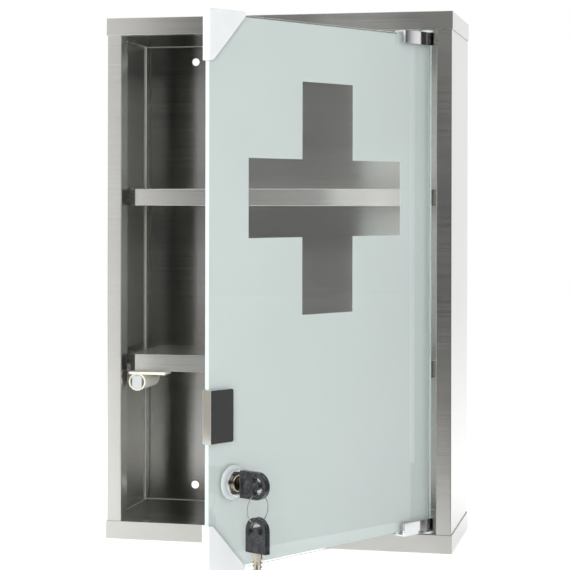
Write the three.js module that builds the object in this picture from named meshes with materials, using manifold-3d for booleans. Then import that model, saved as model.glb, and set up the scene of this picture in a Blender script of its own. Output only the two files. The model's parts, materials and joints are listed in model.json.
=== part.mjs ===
// A wall cabinet of folded stainless sheet with two shelves and a frosted glass door on two pivots.
// Millimetres, +Z up, front towards -Y. The origin is the middle of the rear face.
import * as THREE from "three";
import { mergeVertices } from "three/addons/utils/BufferGeometryUtils.js";
import Module from "manifold-3d";

const wasm = await Module();
wasm.setup();

// Carcass
const cabinetWidth = 300;
const cabinetHeight = 450;
const cabinetDepth = 120;
const sheet = 0.7;
const seamGap = 0.1;
const seatGap = 0.3;
const trayLipHeight = 15;
const trayReturnDepth = 12;
const stileWidth = 13.5;
const jambDepth = 18;
const backFlangeDepth = 7;
const wallHoleDiameter = 7;
const wallHoleFromSide = 48;
const wallHoleFromEnd = 29.5;

// Shelves, measured up from the base
const upperShelfTop = 302.5;
const lowerShelfTop = 158;
const shelfLipHeight = 14.5;
const shelfReturnDepth = 12;
const shelfCornerCut = 6;
const shelfEndGap = 0.7;
const shelfFrontGap = 1.5;
const studDiameter = 5;
const studPinDiameter = 3.4;
const studPinReach = 3;
const studFromShelfEnd = 16;

// Door pane
const doorAngle = THREE.MathUtils.degToRad(59.7);
const paneThickness = 4;
const paneHingeGap = 5.2;
const paneFreeGap = 4.6;
const paneEndGap = 5;
const paneSetback = 5.5;
const pivotInset = 3;
const frostGap = 0.1;
const frostThickness = 0.2;
const frostMargin = 1;
const crossSize = 180;
const crossArm = 60;
const crossAboveMiddle = 69.3;
const crossTowardsHinge = 2.4;
const paneClear = 0.45;

// Hinge clips, pins and bushes
const hingeReach = 36.5;
const hingeThickness = 11;
const hingeGrip = 8.3;
const hingeWeb = 1.2;
const linerThickness = 0.6;
const linerSeat = 0.2;
const hingePinDiameter = 4;
const bushWall = 0.9;
const bushFlangeDiameter = 11;
const bushSleeveRise = 2.5;
const setScrewDiameter = 4;
const setScrewLength = 2.6;
const setScrewSocket = 2;
const setScrewSocketDepth = 1.2;
const setScrewFirst = 9;
const setScrewPitch = 17;

// Push clip on the free edge
const pushClipWidth = 23.8;
const pushClipHeight = 39.5;
const pushClipPlate = 1.2;
const pushClipCorner = 2;
const pushLinerThickness = 0.5;

// Corner guards
const guardLeg = 38;
const guardTip = 4;
const guardWall = 1.2;
const guardSideWall = 1;
const guardEndWall = 2.2;
const guardClear = 0.5;

// Lock
const lockFromEdge = 25.2;
const lockAboveBase = 84.4;
const lockBezelDiameter = 20.5;
const lockBezelHeight = 3.6;
const lockRimWidth = 1.4;
const lockDishDepth = 2.1;
const lockBarrelDiameter = 18;
const lockHoleClear = 0.5;
const gasketDiameter = 26;
const gasketThickness = 1.2;
const washerDiameter = 24;
const washerThickness = 0.8;
const nutAcrossFlats = 24;
const nutThickness = 4;
const plugDiameter = 12.4;
const plugProud = 1.2;
const plugChamfer = 0.6;
const tailSquare = 7;
const camThickness = 2;
const camWidth = 14;
const camReach = 34;
const camBehindJamb = 1.5;
const camScrewHead = 9;
const camScrewHeadHeight = 2.5;
const camScrewShank = 2.6;
const camScrewDepth = 2.4;

// Keys and ring
const keyHeadWidth = 20;
const keyHeadLength = 26;
const keyHeadThickness = 4.6;
const keyShoulderGap = 2.7;
const keyRim = 3.4;
const keySlotWidth = 3.6;
const keySlotAngle = THREE.MathUtils.degToRad(100);
const keyBladeHeight = 8;
const keyBladeThickness = 2;
const keyBladeReach = 20;
const keyBladeInHead = 8;
const keyNotchDepth = 1;
const keyNotchPitch = 3;
const keyNotchCount = 5;
const ringInnerDiameter = 20.8;
const ringWire = 1.1;
const ringHang = 0.65;

// Push latch under the lower shelf
const latchFromSide = 24;
const latchBarrelDiameter = 15.2;
const latchBarrelLength = 44;
const latchBoreDepth = 38;
const latchPlateThickness = 2.2;
const latchPlateSink = 1;
const latchPlateWidth = 33;
const strikeGap = 0.35;
const plungerDiameter = 12;
const plungerFlatWidth = 8.6;
const plungerLength = 26;
const plungerProud = 1;
const plungerFace = 2;
const magnetDiameter = 6.2;
const magnetLength = 8;
const springWire = 0.7;
const springTurns = 9;
const latchScrewHead = 5.5;
const latchScrewHeadHeight = 2;
const latchScrewShank = 2.8;
const latchScrewReach = 2.5;
const latchScrewFirst = 12.5;
const latchScrewPitch = 8;

// Facets of round pieces
const roundSides = 24;
const fineSides = 16;
const springSides = 5;
const springSteps = 8;
const overcut = 1;

// Derived planes of the carcass
const halfWidth = cabinetWidth / 2;
const halfHeight = cabinetHeight / 2;
const front = -cabinetDepth;
const base = -halfHeight;
const panelSide = halfWidth - sheet - seamGap;
const panelEnd = halfHeight - sheet - seamGap;
const wallInside = panelSide - sheet;
const jambInside = halfWidth - stileWidth;
const stileFront = front + sheet + seamGap;
const jambRear = front + jambDepth;
const backSide = wallInside - seamGap;
const backFlangeInside = backSide - sheet;
const shelfHalf = jambInside - shelfEndGap;
const shelfFront = jambRear + shelfFrontGap;
const shelfRear = -sheet - seatGap;

// Derived places of the door, in the door's own closed frame with the pivot as its origin
const paneWidth = cabinetWidth - 2 * stileWidth - paneHingeGap - paneFreeGap;
const paneHeight = cabinetHeight - 2 * trayLipHeight - 2 * paneEndGap;
const paneTop = paneHeight / 2;
const paneFront = -paneThickness / 2;
const paneRear = paneThickness / 2;
const pivotX = jambInside - paneHingeGap - pivotInset;
const pivotY = front + paneSetback + paneThickness / 2;
const hingeEdge = pivotInset;
const freeEdge = pivotInset - paneWidth;
const clipHalf = hingeThickness / 2;
const clipWebLow = paneTop + seatGap + linerThickness + linerSeat;
const clipTop = clipWebLow + hingeWeb;
const clipLow = paneTop - hingeGrip;
const linerPocket = paneRear + paneClear + linerThickness + linerSeat;
const openingTop = halfHeight - trayLipHeight;
const bushBore = hingePinDiameter / 2 + seatGap;
const bushOuter = bushBore + bushWall;
const bushTop = openingTop + sheet + bushSleeveRise;
const pushClipRear = paneRear + paneClear + pushLinerThickness + linerSeat + pushClipPlate;
const pushClipNotch = pushClipPlate + linerSeat + pushLinerThickness + seatGap;
const lockX = freeEdge + lockFromEdge;
const lockZ = base + lockAboveBase;
const lockHole = lockBarrelDiameter / 2 + lockHoleClear;
const bezelRear = paneFront - 2 * seatGap - gasketThickness;
const bezelFront = bezelRear - lockBezelHeight;
const plugFront = bezelFront - plugProud;
const camFront = jambRear - pivotY + camBehindJamb;
const barrelRear = camFront - 2 * seatGap;
const plugRear = camFront - seatGap;
const tailRear = camFront + camThickness + seatGap;
const plugBore = plugDiameter / 2 + seatGap;
const keywayEnd = plugFront - keyShoulderGap + keyBladeReach + seatGap;

// Derived places of the keys: lengths run from the head's flat base
const keyHeadRadius = keyHeadWidth / 2;
const keyCentre = keyHeadLength - keyHeadRadius;
const slotOuter = keyHeadRadius - keyRim;
const slotInner = slotOuter - keySlotWidth;
const ringRadius = (ringInnerDiameter + ringWire) / 2;
const ringTopDrop = slotOuter - ringHang - ringWire / 2;
const keyBaseY = plugFront - keyShoulderGap;
const ringY = keyBaseY - keyCentre;
const spareBaseDrop = 2 * ringRadius + slotOuter - ringHang - ringWire / 2 + keyCentre;

// Derived places of the latch
const lipBottom = base + lowerShelfTop - shelfLipHeight;
const latchX = -halfWidth + latchFromSide;
const latchRadius = latchBarrelDiameter / 2;
const latchPlateTop = lipBottom - seatGap;
const latchPlateLow = latchPlateTop - latchPlateThickness;
const latchZ = latchPlateLow - latchRadius + latchPlateSink;
const plungerFront = pivotY + pushClipRear + strikeGap;
const latchFront = plungerFront + plungerProud;
const latchBoreEnd = latchFront + latchBoreDepth;
const latchPlateRear = shelfFront + shelfReturnDepth;
const latchScrewY = shelfFront + shelfReturnDepth / 2;
const magnetFront = plungerFront + plungerFace + seatGap;
const springFront = magnetFront + magnetLength + seatGap;
const springRear = latchBoreEnd - seatGap;
const plungerBore = magnetDiameter / 2 + seatGap;
const springRadius = magnetDiameter / 2 - springWire / 2;

// Solid operations
function toSolid(geometry) {
  const bare = geometry.clone();
  bare.deleteAttribute("normal");
  bare.deleteAttribute("uv");
  const merged = mergeVertices(bare, 1e-4);
  return new wasm.Manifold(
    new wasm.Mesh({
      numProp: 3,
      vertProperties: merged.attributes.position.array,
      triVerts: new Uint32Array(merged.index.array),
    }),
  );
}

function toGeometry(solid) {
  const mesh = solid.getMesh();
  const geometry = new THREE.BufferGeometry();
  geometry.setAttribute("position", new THREE.BufferAttribute(mesh.vertProperties, 3));
  geometry.setIndex(new THREE.BufferAttribute(mesh.triVerts, 1));
  geometry.computeVertexNormals();
  return geometry;
}

function joined(first, ...others) {
  return toGeometry(others.reduce((sum, piece) => sum.add(toSolid(piece)), toSolid(first)));
}

function cut(whole, ...tools) {
  return toGeometry(tools.reduce((rest, tool) => rest.subtract(toSolid(tool)), toSolid(whole)));
}

function common(first, second) {
  return toGeometry(toSolid(first).intersect(toSolid(second)));
}

// Basic shapes
function block(low, high) {
  const [x, y, z] = high.map((value, axis) => value - low[axis]);
  const geometry = new THREE.BoxGeometry(x, y, z);
  return geometry.translate(low[0] + x / 2, low[1] + y / 2, low[2] + z / 2);
}

function outline(points) {
  return new THREE.Shape(points.map(([x, y]) => new THREE.Vector2(x, y)));
}

function prism(shape, low, high, sides = roundSides) {
  const settings = { depth: high - low, bevelEnabled: false, curveSegments: sides };
  return new THREE.ExtrudeGeometry(shape, settings).translate(0, 0, low);
}

// A prism whose outline lies in X and Z and whose length runs along Y.
function prismAlongY(shape, low, high, sides = roundSides) {
  return prism(shape, -high, -low, sides).rotateX(Math.PI / 2);
}

function rodAlongY(radius, low, high, sides = roundSides) {
  const rod = new THREE.CylinderGeometry(radius, radius, high - low, sides);
  return rod.translate(0, (low + high) / 2, 0);
}

// A solid or ring turned about Y from a profile of radius and height.
function turned(profile, sides = roundSides) {
  return new THREE.LatheGeometry(
    profile.map(([radius, height]) => new THREE.Vector2(radius, height)),
    sides,
  );
}

function rodProfile(radius, low, high) {
  return [
    [0, low],
    [radius, low],
    [radius, high],
    [0, high],
  ];
}

function ringProfile(inner, outer, low, high) {
  return [
    [inner, low],
    [outer, low],
    [outer, high],
    [inner, high],
    [inner, low],
  ];
}

// Finishes
const finishes = {
  brushedSteel: { color: 0xb9bab8, roughness: 0.35, metalness: 1 },
  chrome: { color: 0xdedede, roughness: 0.08, metalness: 1 },
  zincSteel: { color: 0xa9aaa8, roughness: 0.4, metalness: 1 },
  nickel: { color: 0xc9c2b2, roughness: 0.25, metalness: 1 },
  glass: { color: 0xdfeae6, roughness: 0.02, metalness: 0, transparent: true, opacity: 0.3 },
  frost: { color: 0xcfd8d5, roughness: 0.8, metalness: 0, transparent: true, opacity: 0.8 },
  whiteNylon: { color: 0xf1f1ee, roughness: 0.5, metalness: 0 },
  ivoryPlastic: { color: 0xece8d8, roughness: 0.45, metalness: 0 },
  blackPlastic: { color: 0x24272a, roughness: 0.45, metalness: 0 },
  rubber: { color: 0x8d8f8e, roughness: 0.8, metalness: 0 },
  magnet: { color: 0x3b3a39, roughness: 0.6, metalness: 0.3 },
};

function addPiece(parent, name, geometry, finish) {
  const mesh = new THREE.Mesh(geometry, new THREE.MeshStandardMaterial(finishes[finish]));
  mesh.name = name;
  parent.add(mesh);
  return mesh;
}

const cabinet = new THREE.Group();
cabinet.name = "glass_door_medical_cabinet";

// Trays: a plate with lips all round, a return behind the front lip and a pivot hole in that return
function tray() {
  const floorTop = base + sheet;
  const lipTop = base + trayLipHeight;
  const returnHalf = jambInside - seamGap;
  const lipHalf = backFlangeInside - seamGap;
  const rearLip = -sheet - seamGap;
  const plate = block([-halfWidth, front, base], [halfWidth, 0, floorTop]);
  const frontLip = block([-halfWidth, front, base], [halfWidth, front + sheet, lipTop]);
  const leftLip = block([-halfWidth, front, base], [-halfWidth + sheet, 0, lipTop]);
  const rightLip = block([halfWidth - sheet, front, base], [halfWidth, 0, lipTop]);
  const backLip = block([-lipHalf, rearLip - sheet, base], [lipHalf, rearLip, lipTop]);
  const returnRear = front + sheet + trayReturnDepth;
  const frontReturn = block([-returnHalf, front, lipTop - sheet], [returnHalf, returnRear, lipTop]);
  const pivotHole = rodAlongY(bushOuter + seatGap, -overcut, sheet + overcut);
  pivotHole.rotateX(Math.PI / 2).translate(pivotX, pivotY, lipTop - sheet);
  return cut(joined(plate, frontLip, leftLip, rightLip, backLip, frontReturn), pivotHole);
}

// The same shape mirrored top to bottom, with each triangle turned back to face out.
function upsideDown(geometry) {
  const mirrored = geometry.clone().scale(1, 1, -1);
  const corners = mirrored.index.array;
  for (let first = 0; first < corners.length; first += 3) {
    [corners[first], corners[first + 1]] = [corners[first + 1], corners[first]];
  }
  mirrored.computeVertexNormals();
  return mirrored;
}

addPiece(cabinet, "bottom_tray", tray(), "brushedSteel");
addPiece(cabinet, "top_tray", upsideDown(tray()), "brushedSteel");

// Side panels: wall, stile and jamb folded from one sheet
function sidePanel(side) {
  const section = [
    [panelSide, 0],
    [panelSide, stileFront],
    [jambInside, stileFront],
    [jambInside, jambRear],
    [jambInside + sheet, jambRear],
    [jambInside + sheet, stileFront + sheet],
    [wallInside, stileFront + sheet],
    [wallInside, 0],
  ];
  return prism(outline(section.map(([x, y]) => [side * x, y])), -panelEnd, panelEnd);
}

addPiece(cabinet, "left_side_panel", sidePanel(-1), "brushedSteel");
addPiece(cabinet, "right_side_panel", sidePanel(1), "brushedSteel");

// Back panel: a plate with forward flanges and four screw holes
function backPanel() {
  const section = [
    [-backSide, 0],
    [-backSide, -backFlangeDepth],
    [-backFlangeInside, -backFlangeDepth],
    [-backFlangeInside, -sheet],
    [backFlangeInside, -sheet],
    [backFlangeInside, -backFlangeDepth],
    [backSide, -backFlangeDepth],
    [backSide, 0],
  ];
  const holes = [-1, 1].flatMap((side) =>
    [-1, 1].map((end) =>
      rodAlongY(wallHoleDiameter / 2, -sheet - overcut, overcut).translate(
        side * (halfWidth - wallHoleFromSide),
        0,
        end * (halfHeight - wallHoleFromEnd),
      ),
    ),
  );
  return cut(prism(outline(section), -panelEnd, panelEnd), ...holes);
}

addPiece(cabinet, "back_panel", backPanel(), "brushedSteel");

// Shelves: cut front corners, a lip with a return below it, and side flanges carried on studs
const studFrontY = shelfFront + studFromShelfEnd;
const studRearY = shelfRear - studFromShelfEnd;
const studHole = studPinDiameter / 2 + seatGap;

function shelfOutline(inset) {
  const half = shelfHalf - inset;
  const nose = shelfFront + inset;
  const rear = inset > 0 ? shelfRear + overcut : shelfRear;
  return outline([
    [-half, rear],
    [-half, nose + shelfCornerCut],
    [-half + shelfCornerCut, nose],
    [half - shelfCornerCut, nose],
    [half, nose + shelfCornerCut],
    [half, rear],
  ]);
}

function shelf(top, screwHoles) {
  const low = top - shelfLipHeight;
  const inner = shelfHalf - sheet;
  const body = prism(shelfOutline(0), low, top);
  const hollow = prism(shelfOutline(sheet), low + sheet, top - sheet);
  const mouth = block(
    [-inner, shelfFront + shelfReturnDepth, low - overcut],
    [inner, shelfRear + overcut, low + 2 * sheet],
  );
  const studHoles = [studFrontY, studRearY].map((y) =>
    rodAlongY(studHole, -shelfHalf - overcut, shelfHalf + overcut, fineSides)
      .rotateZ(Math.PI / 2)
      .translate(0, y, top - shelfLipHeight / 2),
  );
  return cut(body, hollow, mouth, ...studHoles, ...screwHoles);
}

const latchScrewXs = [0, 1].map((step) => latchX + latchScrewFirst + step * latchScrewPitch);

function latchScrewHole(x) {
  const hole = rodAlongY(latchScrewShank / 2 + seatGap, -overcut, shelfLipHeight / 2, fineSides);
  return hole.rotateX(Math.PI / 2).translate(x, latchScrewY, lipBottom);
}

addPiece(cabinet, "upper_shelf", shelf(base + upperShelfTop, []), "brushedSteel");
addPiece(
  cabinet,
  "lower_shelf",
  shelf(base + lowerShelfTop, latchScrewXs.map(latchScrewHole)),
  "brushedSteel",
);

// Shelf studs: a shoulder off the side wall and a pin through the shelf's flange
const studShoulder = wallInside - shelfHalf - 2 * seatGap;
const studLength = studShoulder + seatGap + sheet + studPinReach;
const studProfile = [
  [0, 0],
  [studDiameter / 2, 0],
  [studDiameter / 2, studShoulder],
  [studPinDiameter / 2, studShoulder],
  [studPinDiameter / 2, studLength],
  [0, studLength],
];
for (const [level, top] of [
  ["upper", upperShelfTop],
  ["lower", lowerShelfTop],
]) {
  for (const [sideName, side] of [
    ["left", -1],
    ["right", 1],
  ]) {
    for (const [place, y] of [
      ["front", studFrontY],
      ["rear", studRearY],
    ]) {
      const name = `${level}_shelf_stud_${sideName}_${place}`;
      const stud = addPiece(cabinet, name, turned(studProfile, fineSides), "zincSteel");
      stud.rotation.z = (side * Math.PI) / 2;
      stud.position.set(side * (wallInside - seatGap), y, base + top - shelfLipHeight / 2);
    }
  }
}

// Hinge bushes: a flange under the tray's return and a sleeve through it
const bushFlangeLow = clipTop + seatGap;
const bushFlangeHigh = openingTop - seatGap;
const bushProfile = [
  [bushBore, bushFlangeLow],
  [bushFlangeDiameter / 2, bushFlangeLow],
  [bushFlangeDiameter / 2, bushFlangeHigh],
  [bushOuter, bushFlangeHigh],
  [bushOuter, bushTop],
  [bushBore, bushTop],
  [bushBore, bushFlangeLow],
];
for (const [name, end] of [
  ["upper_hinge_bush", 1],
  ["lower_hinge_bush", -1],
]) {
  const bush = addPiece(cabinet, name, turned(bushProfile), "whiteNylon");
  bush.rotation.x = (end * Math.PI) / 2;
  bush.position.set(pivotX, pivotY, 0);
}

// Push latch: barrel and mounting plate in one moulding, screwed to the shelf's return
function latchHousing() {
  const barrel = rodAlongY(latchRadius, latchFront, latchFront + latchBarrelLength);
  barrel.translate(latchX, 0, latchZ);
  const plate = block(
    [latchX - latchRadius, latchFront, latchPlateLow],
    [latchX - latchRadius + latchPlateWidth, latchPlateRear, latchPlateTop],
  );
  const bore = rodAlongY(plungerDiameter / 2 + seatGap, latchFront - overcut, latchBoreEnd);
  bore.translate(latchX, 0, latchZ);
  const holes = latchScrewXs.map((x) =>
    rodAlongY(latchScrewShank / 2 + seatGap, -overcut, latchPlateThickness + overcut, fineSides)
      .rotateX(Math.PI / 2)
      .translate(x, latchScrewY, latchPlateLow),
  );
  return cut(joined(barrel, plate), bore, ...holes);
}

addPiece(cabinet, "latch_housing", latchHousing(), "ivoryPlastic");

const latchScrewTip = latchPlateThickness + 2 * seatGap + sheet + latchScrewReach;
const latchScrewProfile = [
  [0, -latchScrewHeadHeight],
  [latchScrewHead / 2 - latchScrewHeadHeight / 2, -latchScrewHeadHeight],
  [latchScrewHead / 2, -latchScrewHeadHeight / 2],
  [latchScrewHead / 2, 0],
  [latchScrewShank / 2, 0],
  [latchScrewShank / 2, latchScrewTip],
  [0, latchScrewTip],
];
["latch_screw_inner", "latch_screw_outer"].forEach((name, index) => {
  const screw = addPiece(cabinet, name, turned(latchScrewProfile, fineSides), "zincSteel");
  screw.rotation.x = Math.PI / 2;
  screw.position.set(latchScrewXs[index], latchScrewY, latchPlateLow - seatGap);
});

// Plunger with two flats, its magnet behind the face, and the spring that drives it out
function latchPlunger() {
  const rod = rodAlongY(plungerDiameter / 2, plungerFront, plungerFront + plungerLength);
  const flats = block(
    [-plungerFlatWidth / 2, plungerFront - overcut, -plungerDiameter],
    [plungerFlatWidth / 2, plungerFront + plungerLength + overcut, plungerDiameter],
  );
  const bore = rodAlongY(
    plungerBore,
    plungerFront + plungerFace,
    plungerFront + plungerLength + overcut,
    fineSides,
  );
  return cut(common(rod, flats), bore);
}

class Helix extends THREE.Curve {
  getPoint(t, target = new THREE.Vector3()) {
    const turn = 2 * Math.PI * springTurns * t;
    const run = springRear - springFront - springWire;
    return target.set(
      springRadius * Math.cos(turn),
      springFront + springWire / 2 + run * t,
      springRadius * Math.sin(turn),
    );
  }
}

function coilSpring() {
  const wire = new THREE.Shape();
  wire.absarc(0, 0, springWire / 2, 0, 2 * Math.PI);
  return new THREE.ExtrudeGeometry(wire, {
    steps: springTurns * springSteps,
    curveSegments: springSides,
    bevelEnabled: false,
    extrudePath: new Helix(),
  });
}

const plunger = new THREE.Group();
plunger.position.set(latchX, 0, latchZ);
cabinet.add(plunger);
addPiece(plunger, "latch_plunger", latchPlunger(), "whiteNylon");
addPiece(
  plunger,
  "latch_magnet",
  turned(rodProfile(magnetDiameter / 2, magnetFront, magnetFront + magnetLength), fineSides),
  "magnet",
);
addPiece(plunger, "latch_spring", coilSpring(), "zincSteel");
const coilGap = (springRear - springFront - springWire) / springTurns - springWire;
console.log(`latch spring: ${coilGap.toFixed(2)} mm between neighbouring curls`);

// Door: every piece is in the closed door's frame, and the whole group is turned open
const door = new THREE.Group();
door.position.set(pivotX, pivotY, 0);
door.rotation.z = doorAngle;
cabinet.add(door);

function lockHoleTool(clearance) {
  return rodAlongY(lockHole + clearance, -cabinetDepth, cabinetDepth).translate(lockX, 0, lockZ);
}

// The pane has a shallow notch in its free edge, so that the push clip ends flush with that edge.
function doorPane() {
  const whole = block([freeEdge, paneFront, -paneTop], [hingeEdge, paneRear, paneTop]);
  return cut(whole, lockHoleTool(0), notchTool(0));
}

function notchTool(clearance) {
  const half = pushClipHeight / 2 + seatGap;
  const depth = pushClipNotch + clearance;
  return block(
    [freeEdge - overcut, -cabinetDepth, latchZ - half],
    [freeEdge + depth, cabinetDepth, latchZ + half],
  );
}

addPiece(door, "door_glass", doorPane(), "glass");

// The frosted layer lies on the pane's rear face, and the cross is left clear.
function frostLayer() {
  const near = paneRear + frostGap;
  const far = near + frostThickness;
  const crossX = (freeEdge + hingeEdge) / 2 + crossTowardsHinge;
  const layer = block(
    [freeEdge + frostMargin, near, -paneTop + frostMargin],
    [hingeEdge - frostMargin, far, paneTop - frostMargin],
  );
  const bar = (width, height) =>
    block(
      [crossX - width / 2, near - overcut, crossAboveMiddle - height / 2],
      [crossX + width / 2, far + overcut, crossAboveMiddle + height / 2],
    );
  const cross = joined(bar(crossSize, crossArm), bar(crossArm, crossSize));
  return cut(layer, cross, lockHoleTool(frostMargin), notchTool(frostMargin));
}

addPiece(door, "frost_layer", frostLayer(), "frost");

// Hinge clips: a channel over the pane's edge with a round knuckle about the pivot
const setScrewXs = [0, 1].map((step) => -setScrewFirst - step * setScrewPitch);
const setScrewZ = paneTop - hingeGrip / 2;

function hingeClip() {
  const plan = new THREE.Shape();
  plan.moveTo(-hingeReach, -clipHalf);
  plan.lineTo(0, -clipHalf);
  plan.absarc(0, 0, clipHalf, -Math.PI / 2, Math.PI / 2);
  plan.lineTo(-hingeReach, clipHalf);
  const body = prism(plan, clipLow, clipTop, fineSides);
  const slot = block(
    [-hingeReach - overcut, -linerPocket, clipLow - overcut],
    [hingeEdge + seatGap, linerPocket, clipWebLow],
  );
  const pinHole = rodAlongY(hingePinDiameter / 2 + seatGap, clipWebLow - overcut, clipTop + overcut);
  pinHole.rotateX(Math.PI / 2);
  const screwHoles = setScrewXs.map((x) =>
    rodAlongY(setScrewDiameter / 2 + seatGap, 0, clipHalf + overcut, fineSides).translate(x, 0, setScrewZ),
  );
  return cut(body, slot, pinHole, ...screwHoles);
}

function hingeLiner() {
  const outer = paneRear + paneClear + linerThickness;
  const inner = paneRear + paneClear;
  const top = paneTop + seatGap + linerThickness;
  const body = block([-hingeReach + seatGap, -outer, clipLow + seatGap], [hingeEdge, outer, top]);
  const groove = block(
    [-hingeReach - overcut, -inner, clipLow - overcut],
    [hingeEdge + overcut, inner, paneTop + seatGap],
  );
  return cut(body, groove);
}

const pinLow = clipWebLow + seatGap;
const pinHigh = bushTop - seatGap;

function hingePin() {
  return turned(rodProfile(hingePinDiameter / 2, pinLow, pinHigh)).rotateX(Math.PI / 2);
}

function hexagon(acrossFlats) {
  const corner = acrossFlats / Math.sqrt(3);
  const angles = [0, 1, 2, 3, 4, 5].map((step) => (step * Math.PI) / 3);
  return outline(angles.map((angle) => [corner * Math.cos(angle), corner * Math.sin(angle)]));
}

function setScrew() {
  const tip = linerPocket + seatGap / 2;
  const end = tip + setScrewLength;
  const body = rodAlongY(setScrewDiameter / 2, tip, end, fineSides);
  const socket = prismAlongY(hexagon(setScrewSocket), end - setScrewSocketDepth, end + overcut);
  return cut(body, socket);
}

for (const [level, end] of [
  ["upper", 1],
  ["lower", -1],
]) {
  const placed = (geometry) => (end > 0 ? geometry : upsideDown(geometry));
  addPiece(door, `${level}_hinge_clip`, placed(hingeClip()), "chrome");
  addPiece(door, `${level}_hinge_liner`, placed(hingeLiner()), "rubber");
  addPiece(door, `${level}_hinge_pin`, placed(hingePin()), "zincSteel");
  setScrewXs.forEach((x, index) => {
    const name = `${level}_hinge_screw_${index + 1}`;
    addPiece(door, name, setScrew(), "zincSteel").position.set(x, 0, end * setScrewZ);
  });
}

// Push clip: a channel on the free edge, level with the latch
function pushClip() {
  const outer = pushClipRear;
  const pocket = outer - pushClipPlate;
  const inside = freeEdge + pushClipWidth;
  const half = pushClipHeight / 2;
  const body = block([freeEdge, -outer, -half], [inside, outer, half]);
  const slot = block(
    [freeEdge + pushClipPlate, -pocket, -half - overcut],
    [inside + overcut, pocket, half + overcut],
  );
  const face = new THREE.Shape();
  face.moveTo(freeEdge, -half);
  face.lineTo(inside - pushClipCorner, -half);
  face.absarc(inside - pushClipCorner, -half + pushClipCorner, pushClipCorner, -Math.PI / 2, 0);
  face.absarc(inside - pushClipCorner, half - pushClipCorner, pushClipCorner, 0, Math.PI / 2);
  face.lineTo(freeEdge, half);
  return common(cut(body, slot), prismAlongY(face, -outer - overcut, outer + overcut, fineSides / 2));
}

function pushClipLiner() {
  const inner = paneRear + paneClear;
  const outer = inner + pushLinerThickness;
  const half = pushClipHeight / 2 - pushClipCorner;
  const outside = freeEdge + pushClipPlate + linerSeat;
  const inside = freeEdge + pushClipWidth - pushClipCorner;
  const body = block([outside, -outer, -half], [inside, outer, half]);
  const groove = block(
    [outside + pushLinerThickness, -inner, -half - overcut],
    [inside + overcut, inner, half + overcut],
  );
  return cut(body, groove);
}

addPiece(door, "push_clip", pushClip(), "chrome").position.z = latchZ;
addPiece(door, "push_clip_liner", pushClipLiner(), "rubber").position.z = latchZ;

// Corner guards: three-cornered pockets pushed over the pane's free corners
function cornerGuard() {
  const cornerX = freeEdge - seatGap - guardSideWall;
  const cornerZ = paneTop + seatGap + guardEndWall;
  const half = paneRear + guardClear + guardWall;
  const face = outline([
    [cornerX, cornerZ],
    [cornerX, cornerZ - guardLeg],
    [cornerX + guardTip, cornerZ - guardLeg],
    [cornerX + guardLeg, cornerZ - guardTip],
    [cornerX + guardLeg, cornerZ],
  ]);
  const pocket = block(
    [freeEdge - seatGap, -paneRear - guardClear, cornerZ - 2 * guardLeg],
    [freeEdge + 2 * guardLeg, paneRear + guardClear, paneTop + seatGap],
  );
  return cut(prismAlongY(face, -half, half), pocket);
}

addPiece(door, "upper_corner_guard", cornerGuard(), "whiteNylon");
addPiece(door, "lower_corner_guard", upsideDown(cornerGuard()), "whiteNylon");

// Cam lock: body through the pane, with a gasket in front and a washer and nut behind
const lock = new THREE.Group();
lock.position.set(lockX, 0, lockZ);
door.add(lock);

function lockBody() {
  const bezel = lockBezelDiameter / 2;
  const barrel = lockBarrelDiameter / 2;
  const rimInside = bezel - lockRimWidth;
  const rimTop = bezelFront + lockRimWidth / 4;
  const dish = bezelFront + lockDishDepth;
  return turned([
    [plugBore, dish],
    [rimInside, dish],
    [rimInside + lockRimWidth / 4, rimTop],
    [rimInside + lockRimWidth / 2, bezelFront],
    [bezel, bezelFront + lockRimWidth / 2],
    [bezel, bezelRear],
    [barrel, bezelRear],
    [barrel, barrelRear],
    [plugBore, barrelRear],
    [plugBore, dish],
  ]);
}

const washerFront = paneRear + frostGap + frostThickness + seatGap;
const washerRear = washerFront + washerThickness;
const nutFront = washerRear + seatGap;

function lockNut() {
  const body = prismAlongY(hexagon(nutAcrossFlats), nutFront, nutFront + nutThickness);
  return cut(body, rodAlongY(lockBarrelDiameter / 2 + seatGap, 0, cabinetDepth));
}

const gasketRear = paneFront - seatGap;
addPiece(lock, "lock_body", lockBody(), "chrome");
addPiece(
  lock,
  "lock_gasket",
  turned(ringProfile(lockHole, gasketDiameter / 2, gasketRear - gasketThickness, gasketRear)),
  "whiteNylon",
);
addPiece(
  lock,
  "lock_washer",
  turned(ringProfile(lockHole, washerDiameter / 2, washerFront, washerRear)),
  "whiteNylon",
);
addPiece(lock, "lock_nut", lockNut(), "zincSteel");

// Plug with a keyway and a square tail, the cam on that tail and the screw that holds it
const plug = new THREE.Group();
lock.add(plug);

function lockPlug() {
  const radius = plugDiameter / 2;
  const body = turned([
    [0, plugFront],
    [radius - plugChamfer, plugFront],
    [radius, plugFront + plugChamfer],
    [radius, plugRear],
    [0, plugRear],
  ]);
  const halfTail = tailSquare / 2;
  const tail = block(
    [-halfTail, plugRear - overcut, -halfTail],
    [halfTail, tailRear, halfTail],
  );
  const keywayX = keyBladeThickness / 2 + seatGap;
  const keywayZ = keyBladeHeight / 2 + seatGap;
  const keyway = block(
    [-keywayX, plugFront - overcut, -keywayZ],
    [keywayX, keywayEnd, keywayZ],
  );
  const screwHole = rodAlongY(
    camScrewShank / 2 + seatGap,
    tailRear - camScrewDepth - seatGap,
    tailRear + overcut,
    fineSides,
  );
  return cut(joined(body, tail), keyway, screwHole);
}

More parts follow.
